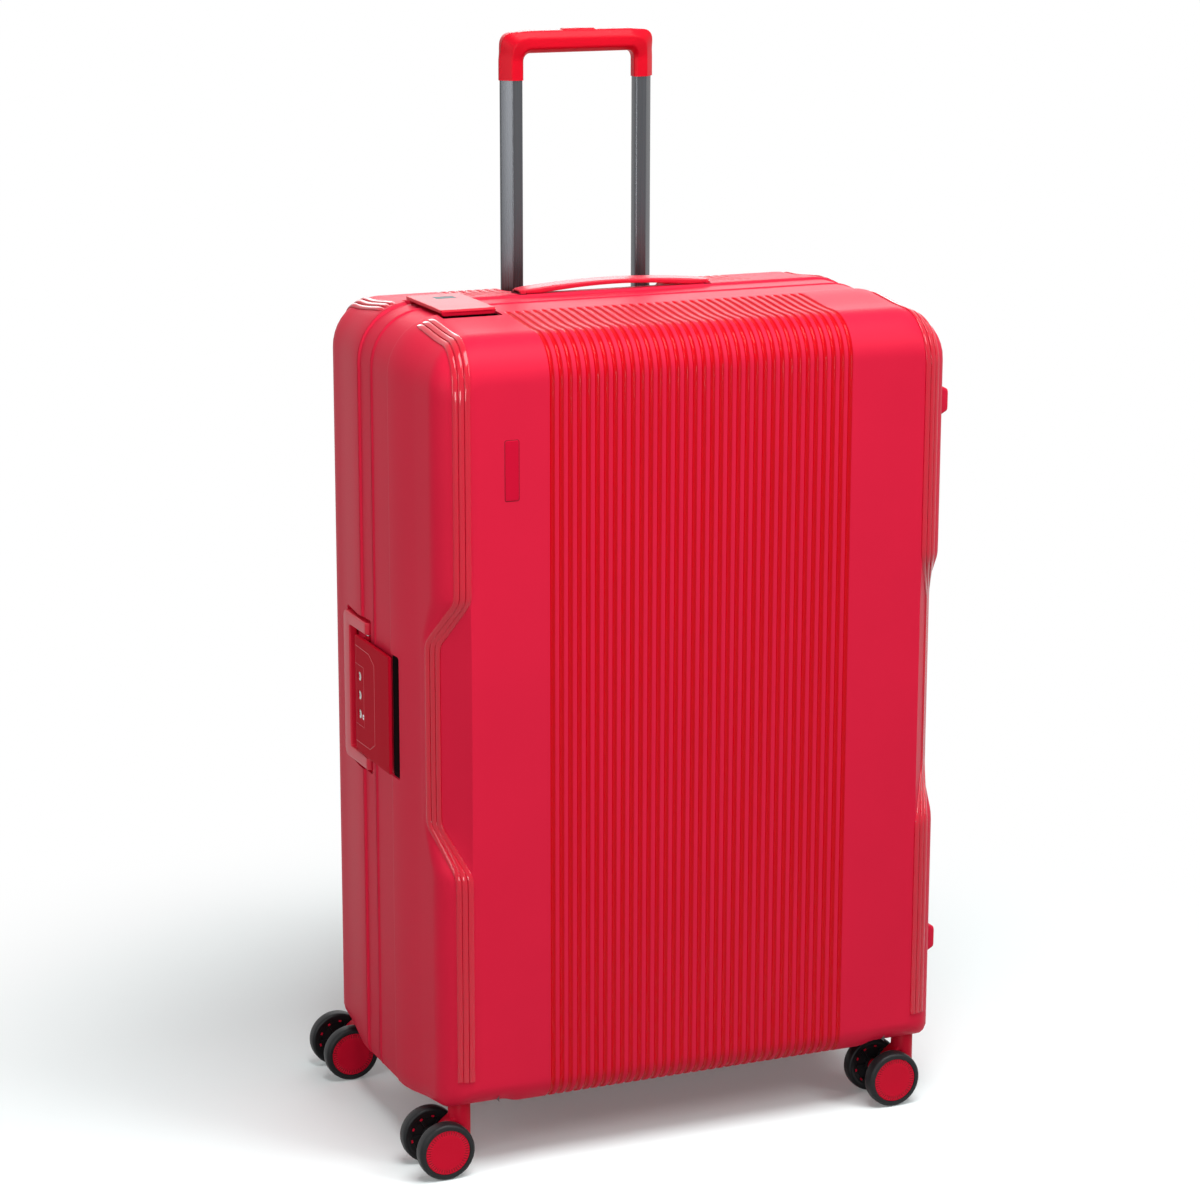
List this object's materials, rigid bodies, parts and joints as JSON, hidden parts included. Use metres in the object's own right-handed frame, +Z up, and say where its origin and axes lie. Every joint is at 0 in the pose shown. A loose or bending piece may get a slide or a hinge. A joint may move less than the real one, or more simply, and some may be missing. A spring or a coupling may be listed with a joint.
{
  "type": "hard-shell upright suitcase",
  "caption": "Large hard-shell upright suitcase with a ribbed red body, latch closures, telescopic tow handle, carry handles and twin-wheel casters.",
  "frame": {"origin": "on the floor, midway between the shells' sides and between their front and back faces", "axes": "+X to the hinge side (right, seen from the front), +Y to the back where the tow handle is, +Z up"},
  "size_m": [0.5379, 0.3198, 0.997],
  "materials": {
    "case_plastic": "fine satin texture with glossy grooves",
    "handle_plastic": "semi-gloss",
    "latch_plastic": "satin",
    "lining_cloth": "woven polyester",
    "webbing": "ribbed webbing",
    "black_plastic": "satin",
    "seal_rubber": "matt",
    "pole_aluminium": "anodised satin",
    "guide_aluminium": "mill finish",
    "steel": "brushed",
    "inset_plastic": "gloss",
    "dial_white": "gloss",
    "caster_plastic": "semi-gloss",
    "tyre": "satin"
  },
  "bodies": {
    "base": {"base_shell": "case_plastic", "base_lining": "lining_cloth", "rim_seal": "seal_rubber", "packing_straps": "webbing", "strap_buckle": "black_plastic", "guide_tubes": "guide_aluminium", "tube_anchor": "black_plastic", "trolley_bezel": "latch_plastic", "hinge_leaves": "latch_plastic", "hinge_pins": "steel", "base_side_feet": "case_plastic", "latch_brackets": "latch_plastic", "latch_pins": "steel", "side_handle_pins": "steel", "caster_mount_rear_left": "black_plastic", "caster_mount_rear_right": "black_plastic"},
    "lid": {"lid_shell": "case_plastic", "lid_lining": "lining_cloth", "lid_divider": "lining_cloth", "name_plate": "latch_plastic", "latch_keepers": "latch_plastic", "hinge_knuckles": "latch_plastic", "lid_side_feet": "case_plastic", "caster_mount_front_left": "black_plastic", "caster_mount_front_right": "black_plastic"},
    "tow_handle": {"grip": "handle_plastic", "inner_tubes": "pole_aluminium", "slide_blocks": "black_plastic"},
    "grip_button": {"grip_button": "handle_plastic", "push_rods": "steel"},
    "carry_handle": {"carry_handle": "handle_plastic"},
    "side_handle": {"side_handle": "handle_plastic"},
    "side_latch": {"side_latch_flap": "latch_plastic", "lock_body": "black_plastic", "lock_shaft": "steel"},
    "key_barrel": {"key_barrel": "steel"},
    "dial_upper": {"dial_upper": "dial_white"},
    "dial_middle": {"dial_middle": "dial_white"},
    "dial_lower": {"dial_lower": "dial_white"},
    "top_latch": {"top_latch_flap": "handle_plastic", "top_latch_inset": "inset_plastic"},
    "bottom_latch": {"bottom_latch_flap": "handle_plastic"},
    "swivel_front_left": {"caster_fork_front_left": "caster_plastic", "axle_front_left": "steel"},
    "wheels_front_left": {"hubs_front_left": "caster_plastic", "tyres_front_left": "tyre"},
    "swivel_front_right": {"caster_fork_front_right": "caster_plastic", "axle_front_right": "steel"},
    "wheels_front_right": {"hubs_front_right": "caster_plastic", "tyres_front_right": "tyre"},
    "swivel_rear_left": {"caster_fork_rear_left": "caster_plastic", "axle_rear_left": "steel"},
    "wheels_rear_left": {"hubs_rear_left": "caster_plastic", "tyres_rear_left": "tyre"},
    "swivel_rear_right": {"caster_fork_rear_right": "caster_plastic", "axle_rear_right": "steel"},
    "wheels_rear_right": {"hubs_rear_right": "caster_plastic", "tyres_rear_right": "tyre"}
  },
  "joints": [
    {"name": "lid_hinge", "type": "hinge", "parent": "base", "child": "lid", "pos_m": [0.2575, 0.005, 0.406], "axis": [0, 0, 1], "range_deg": [0, 158]},
    {"name": "tow_handle_slide", "type": "slide", "parent": "base", "child": "tow_handle", "axis": [0, 0, 1], "range_m": [-0.223, 0]},
    {"name": "grip_button_press", "type": "slide", "parent": "tow_handle", "child": "grip_button", "axis": [0, 0, -1], "range_m": [0, 0.003], "stiffness_N_per_m": 800, "springref_m": -0.002},
    {"name": "carry_handle_lift", "type": "slide", "parent": "base", "child": "carry_handle", "axis": [0, 0, 1], "range_m": [0, 0.008]},
    {"name": "side_handle_swing", "type": "hinge", "parent": "base", "child": "side_handle", "pos_m": [-0.2525, 0.024, 0.406], "axis": [0, 0, 1], "range_deg": [0, 88], "stiffness_Nm_per_rad": 0.05},
    {"name": "side_latch_swing", "type": "hinge", "parent": "base", "child": "side_latch", "pos_m": [-0.2525, 0.04, 0.406], "axis": [0, 0, -1], "range_deg": [0, 50]},
    {"name": "key_turn", "type": "hinge", "parent": "side_latch", "child": "key_barrel", "pos_m": [-0.256, 0.022, 0.387], "axis": [1, 0, 0], "range_deg": [0, 90]},
    {"name": "top_latch_swing", "type": "hinge", "parent": "base", "child": "top_latch", "pos_m": [-0.18, 0.04, 0.7645], "axis": [-1, 0, 0], "range_deg": [0, 50]},
    {"name": "bottom_latch_swing", "type": "hinge", "parent": "base", "child": "bottom_latch", "pos_m": [-0.126, 0.04, 0.0555], "axis": [1, 0, 0], "range_deg": [0, 50]},
    {"name": "dial_upper_turn", "type": "hinge", "parent": "side_latch", "child": "dial_upper", "pos_m": [-0.2539, 0.031, 0.424], "axis": [0, 0, 1], "continuous": true},
    {"name": "dial_middle_turn", "type": "hinge", "parent": "side_latch", "child": "dial_middle", "pos_m": [-0.2539, 0.031, 0.406], "axis": [0, 0, 1], "continuous": true},
    {"name": "dial_lower_turn", "type": "hinge", "parent": "side_latch", "child": "dial_lower", "pos_m": [-0.2539, 0.031, 0.388], "axis": [0, 0, 1], "continuous": true},
    {"name": "swivel_front_left_turn", "type": "hinge", "parent": "lid", "child": "swivel_front_left", "pos_m": [-0.226, -0.131, 0.06], "axis": [0, 0, 1], "continuous": true},
    {"name": "wheels_front_left_roll", "type": "hinge", "parent": "swivel_front_left", "child": "wheels_front_left", "pos_m": [-0.2474, -0.131, 0.0265], "axis": [0, 1, 0], "continuous": true},
    {"name": "swivel_front_right_turn", "type": "hinge", "parent": "lid", "child": "swivel_front_right", "pos_m": [0.226, -0.131, 0.06], "axis": [0, 0, 1], "continuous": true},
    {"name": "wheels_front_right_roll", "type": "hinge", "parent": "swivel_front_right", "child": "wheels_front_right", "pos_m": [0.2046, -0.131, 0.0265], "axis": [0, 1, 0], "continuous": true},
    {"name": "swivel_rear_left_turn", "type": "hinge", "parent": "base", "child": "swivel_rear_left", "pos_m": [-0.226, 0.131, 0.06], "axis": [0, 0, 1], "continuous": true},
    {"name": "wheels_rear_left_roll", "type": "hinge", "parent": "swivel_rear_left", "child": "wheels_rear_left", "pos_m": [-0.2474, 0.131, 0.0265], "axis": [0, 1, 0], "continuous": true},
    {"name": "swivel_rear_right_turn", "type": "hinge", "parent": "base", "child": "swivel_rear_right", "pos_m": [0.226, 0.131, 0.06], "axis": [0, 0, 1], "continuous": true},
    {"name": "wheels_rear_right_roll", "type": "hinge", "parent": "swivel_rear_right", "child": "wheels_rear_right", "pos_m": [0.2046, 0.131, 0.0265], "axis": [0, 1, 0], "continuous": true}
  ]
}
